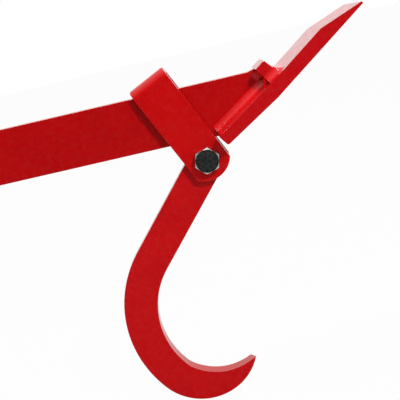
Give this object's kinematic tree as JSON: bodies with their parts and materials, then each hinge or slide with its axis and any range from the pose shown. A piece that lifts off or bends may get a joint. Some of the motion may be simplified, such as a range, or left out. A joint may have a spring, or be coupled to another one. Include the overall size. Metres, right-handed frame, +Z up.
{
  "type": "felling lever",
  "caption": "Painted steel felling lever: flat bar with a welded pry tongue, a sliding strap stirrup and a turning hook on a hex bolt, and a ribbed black grip.",
  "frame": {"origin": "middle of the tongue's flat underside, the face that bears on the log", "axes": "+X along the bar towards the tongue, +Y across the bar away from the bolt's head, +Z up, square to the bar, with the hook hanging towards -Z"},
  "size_m": [0.8, 0.06, 0.2748],
  "materials": {
    "bar_paint": "glossy red paint on a rolled flat bar",
    "tongue_paint": "glossy red paint on plate steel",
    "weld_paint": "glossy red paint over weld beads",
    "stirrup_paint": "glossy red paint on a bent strap",
    "hook_paint": "glossy red paint on a forged hook",
    "grip_rubber": "matt black ribbed rubber",
    "zinc": "bright zinc plating",
    "nylon": "white nylon"
  },
  "bodies": {
    "lever": {"lever_bar": "bar_paint", "tongue": "tongue_paint", "stop_block": "tongue_paint", "weld_bar_near": "weld_paint", "weld_bar_far": "weld_paint", "weld_block": "weld_paint", "weld_bar_top": "weld_paint", "weld_heel": "weld_paint", "hand_grip": "grip_rubber"},
    "pivot": {"pivot_bolt": "zinc", "washer": "zinc", "lock_nut": "zinc", "lock_nut_ring": "nylon"},
    "strap": {"stirrup": "stirrup_paint"},
    "cant_hook": {"hook": "hook_paint"}
  },
  "joints": [
    {"name": "stirrup_slide", "type": "slide", "parent": "lever", "child": "pivot", "axis": [1, 0, 0], "range_m": [-0.4, 0]},
    {"name": "stirrup_tilt", "type": "hinge", "parent": "pivot", "child": "strap", "pos_m": [-0.0923, 0, -0.05925], "axis": [0, 1, 0], "range_deg": [0, 9]},
    {"name": "hook_swing", "type": "hinge", "parent": "pivot", "child": "cant_hook", "pos_m": [-0.0923, 0, -0.05925], "axis": [0, 1, 0], "range_deg": [-93, 48]}
  ]
}
